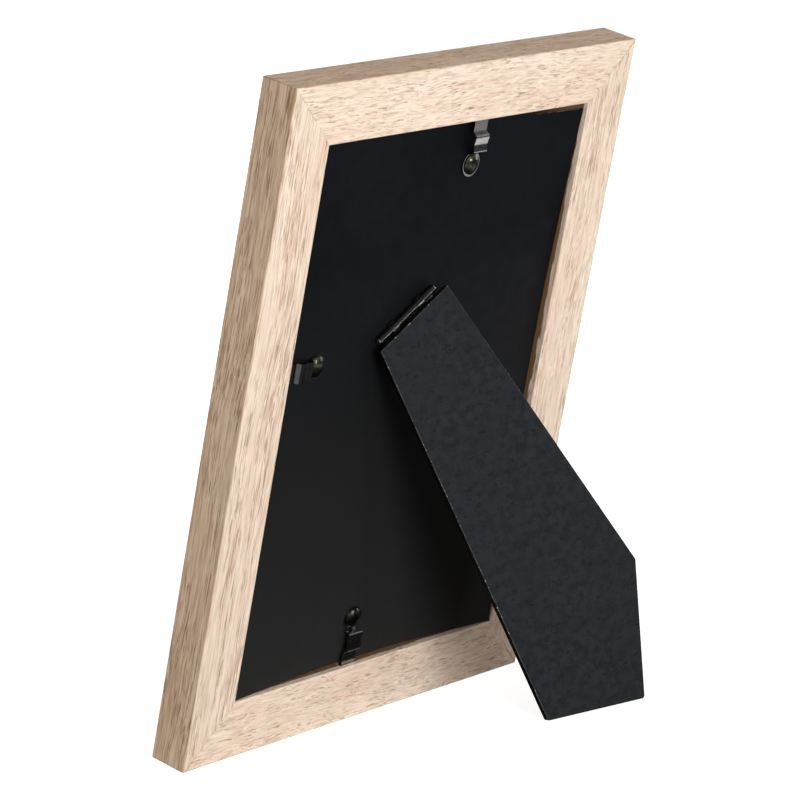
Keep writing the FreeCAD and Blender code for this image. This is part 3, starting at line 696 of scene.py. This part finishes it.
card, tree, shader = start_finish("uncoated_card", IOR=1.45, Roughness=0.85, Specular_IOR_Level=0.3)
place = board_place(tree)
pulp = flecks(tree, place, (0.8, 0.8, 0.8), 0.3, 0.7, detail=4.0)
tint = add(tree, "Mix", {0: pulp, 6: colour("F1EEE7"), 7: colour("EAE6DD")}, out=2, data_type="RGBA")
tree.links.new(tint, shader.inputs["Base Color"])
tree.links.new(add(tree, "Bump", {"Strength": 0.3, "Distance": 0.03 * MM, "Height": pulp}),
               shader.inputs["Normal"])
finish_parts(card, "picture_insert")
sheet = parts["picture_insert"]
sheet.modifiers.new("joined_edges", "WELD").merge_threshold = SAME_POINT
air = sheet.modifiers.new("air_at_the_glass", "DISPLACE")
air.mid_level, air.strength = 0.0, -0.03 * MM
print("card faces drawn back by", round(-air.strength / MM, 2), "mm")

beech, tree, shader = start_finish("planed_beech", IOR=1.5, Roughness=0.6)
place = board_place(tree)
rays = flecks(tree, place, (1.6, 1.6, 0.5), 0.58, 0.70)
tint = add(tree, "Mix", {0: rays, 6: colour("D8B48C"), 7: colour("B98F66")}, out=2, data_type="RGBA")
tree.links.new(tint, shader.inputs["Base Color"])
finish_parts(beech, *[name for name in parts if name.startswith("corner_key_")])

# %% [markdown]
# Floor, backdrop and light
#
# The photograph has a white sweep. A floor that has to look white would need more light than the frame
# does, so the floor adds white of its own for rays that come from the camera, from mirrors or through
# glass, and keeps the frame's shadow in the light that it scatters. Metal shows what it mirrors, so the
# floor that mirrors see is bright only in an arc a third of a metre behind it and dark around that, as
# studio cards and flags would make it, which draws the bends of the clips. The light is that of a plain
# studio: a large softbox behind the frame, low and a little to the left as seen from there, a weak one at
# floor level to the right, whose mirror image is the highlight on the rivets, a narrow one that draws the
# bright line on the hinge's barrel, one in front for the picture side, and a low sky of a slightly warm
# white.

# %% Floor
FLOOR_HALF = 9                               # half of its side, in metres
floor_mesh = bpy.data.meshes.new("floor")
floor_corners = [(x * FLOOR_HALF, y * FLOOR_HALF, 0) for x, y in ((-1, -1), (1, -1), (1, 1), (-1, 1))]
floor_mesh.from_pydata(floor_corners, [], [(0, 1, 2, 3)])
floor = bpy.data.objects.new("floor", floor_mesh)
bpy.context.scene.collection.objects.link(floor)

OWN_WHITE = 0.86                             # strength of the white that the paper adds
ARC_FROM, ARC_FULL, ARC_FADES, ARC_ENDS = 0.315, 0.345, 0.35, 0.64      # metres from the middle
BEHIND_FROM, BEHIND_FULL = 0.08, 0.125       # metres behind it
ARC_DIM, ARC_DARK = 0.10, 0.04               # its light nearer than the arc or in front, and beyond it


def background_rays(tree):
    """Kinds of rays, and a mask of those that show the background: straight, in mirrors or through glass."""
    kinds = add(tree, "LightPath").node.outputs
    seen = add(tree, "Math", {0: kinds["Is Camera Ray"], 1: kinds["Is Glossy Ray"]}, operation="MAXIMUM")
    return kinds, add(tree, "Math", {0: seen, 1: kinds["Is Transmission Ray"]}, operation="MAXIMUM")


sweep = bpy.data.materials.new("white_paper_sweep")
sweep.use_nodes = True
tree = sweep.node_tree
tree.nodes.clear()
kinds, seen = background_rays(tree)
spot = add(tree, "TexCoord", out="Object")
away = add(tree, "VectorMath", {0: spot}, out="Value", operation="LENGTH")
rise = add(tree, "MapRange", {
    "Value": away, "From Min": ARC_FROM, "From Max": ARC_FULL, "To Min": ARC_DIM, "To Max": 1.0,
})
fall = add(tree, "MapRange", {
    "Value": away, "From Min": ARC_FADES, "From Max": ARC_ENDS, "To Min": 1.0, "To Max": ARC_DARK,
})
behind = add(tree, "MapRange", {
    "Value": add(tree, "SeparateXYZ", {0: spot}).node.outputs["Y"],
    "From Min": BEHIND_FROM, "From Max": BEHIND_FULL, "To Min": ARC_DIM, "To Max": 1.0,
})
ring = add(tree, "Math", {0: rise, 1: fall}, operation="MULTIPLY")
arc = add(tree, "Math", {0: ring, 1: behind}, operation="MULTIPLY")
near_white = add(tree, "Math", {0: arc, 1: kinds["Is Camera Ray"]}, operation="MAXIMUM")
shown = add(tree, "Math", {0: seen, 1: near_white}, operation="MULTIPLY")
own_white = add(tree, "Math", {0: shown, 1: OWN_WHITE}, operation="MULTIPLY")
off_arc = add(tree, "Math", {0: 1.0, 1: arc}, operation="SUBTRACT")
mirrored = add(tree, "Math", {0: kinds["Is Glossy Ray"], 1: off_arc}, operation="MULTIPLY")
sweep_tint = add(tree, "Mix", {0: mirrored, 6: colour("E8E8E8"), 7: colour("262626")}, out=2,
                 data_type="RGBA")
scattered = add(tree, "BsdfDiffuse", {"Color": sweep_tint})
own_light = add(tree, "Emission", {"Color": (1, 1, 1, 1), "Strength": own_white})
add(tree, "OutputMaterial", {"Surface": add(tree, "AddShader", {0: scattered, 1: own_light})})
floor_mesh.materials.append(sweep)
print("floor", [round(side) for side in floor.dimensions], "m")

# %% Sky
SKY_LEVEL, SKY_IN_METAL = 0.27, 0.40

world = bpy.data.worlds.new("even_sky")
bpy.context.scene.world = world
world.use_nodes = True
tree = world.node_tree
tree.nodes.clear()
kinds, seen = background_rays(tree)
level = add(tree, "MapRange", {"Value": seen, "To Min": SKY_LEVEL, "To Max": 1.0})
mirrors = add(tree, "MapRange", {"Value": kinds["Is Glossy Ray"], "To Min": 1.0, "To Max": SKY_IN_METAL})
level = add(tree, "Math", {0: level, 1: mirrors}, operation="MULTIPLY")
warmth = add(tree, "Mix", {0: seen, 6: colour("FFF0E3"), 7: colour("FFFFFF")}, out=2, data_type="RGBA")
add(tree, "OutputWorld", {"Surface": add(tree, "Background", {"Color": warmth, "Strength": level})})
print("sky level", SKY_LEVEL, "slightly warm, white where it is seen and", SKY_IN_METAL, "in metal")

# %% Softboxes
MIDDLE = Vector((0, 0, 0.125))
LAMPS_AWAY = 2.2                             # metres from the frame's middle


def softbox(name, direction, size, level):
    """Square lamp that gives a surface facing it a light level, where 1 shows a colour as written."""
    lamp = bpy.data.lights.new(name, "AREA")
    lamp.size = size
    lamp.energy = level * math.pi ** 2 * LAMPS_AWAY ** 2
    held = bpy.data.objects.new(name, lamp)
    bpy.context.scene.collection.objects.link(held)
    way = Vector(direction).normalized()
    held.location = MIDDLE + way * LAMPS_AWAY
    held.rotation_mode = "QUATERNION"
    held.rotation_quaternion = way.to_track_quat("Z", "Y")
    print(name, round(lamp.energy, 1), "W")
    return held


softbox("softbox_behind", (0.37, 0.93, 0.11), 1.2, 1.00)
softbox("softbox_right_of_back", (-0.95, 0.24, -0.02), 0.7, 0.14)
softbox("softbox_in_front", (-0.40, -0.91, 0.06), 0.8, 0.80)
softbox("strip_behind", (-0.40, 0.91, 0.0), 0.25, 0.10)

# %% [markdown]
# Camera
#
# The photograph was taken from behind and to the left with a long lens, a little above the frame. The
# place, the aim and the slight tilt of the camera were worked out from the corners of the rails, and the
# long lens keeps the far side of the frame nearly as large as the near one.

# %% Camera
camera = bpy.data.objects.new("camera", bpy.data.cameras.new("camera"))
bpy.context.scene.collection.objects.link(camera)
camera.data.sensor_width = 36.0
camera.data.lens = 181.04
place_of_camera = Vector((1127.06, 916.69, 401.60)) * MM
aim = Vector((3.345, -3.354, 124.569)) * MM
tilt = Quaternion((0, 0, 1), math.radians(-0.844))
camera.rotation_mode = "QUATERNION"
camera.location = place_of_camera
camera.rotation_quaternion = (aim - place_of_camera).to_track_quat("-Z", "Y") @ tilt
camera.data.clip_start, camera.data.clip_end = 0.1, 50
bpy.context.scene.camera = camera
bpy.context.scene.view_settings.view_transform = "Standard"
print("camera stands", round((aim - place_of_camera).length, 3), "m away")

# %% Update the scene
bpy.context.view_layer.update()
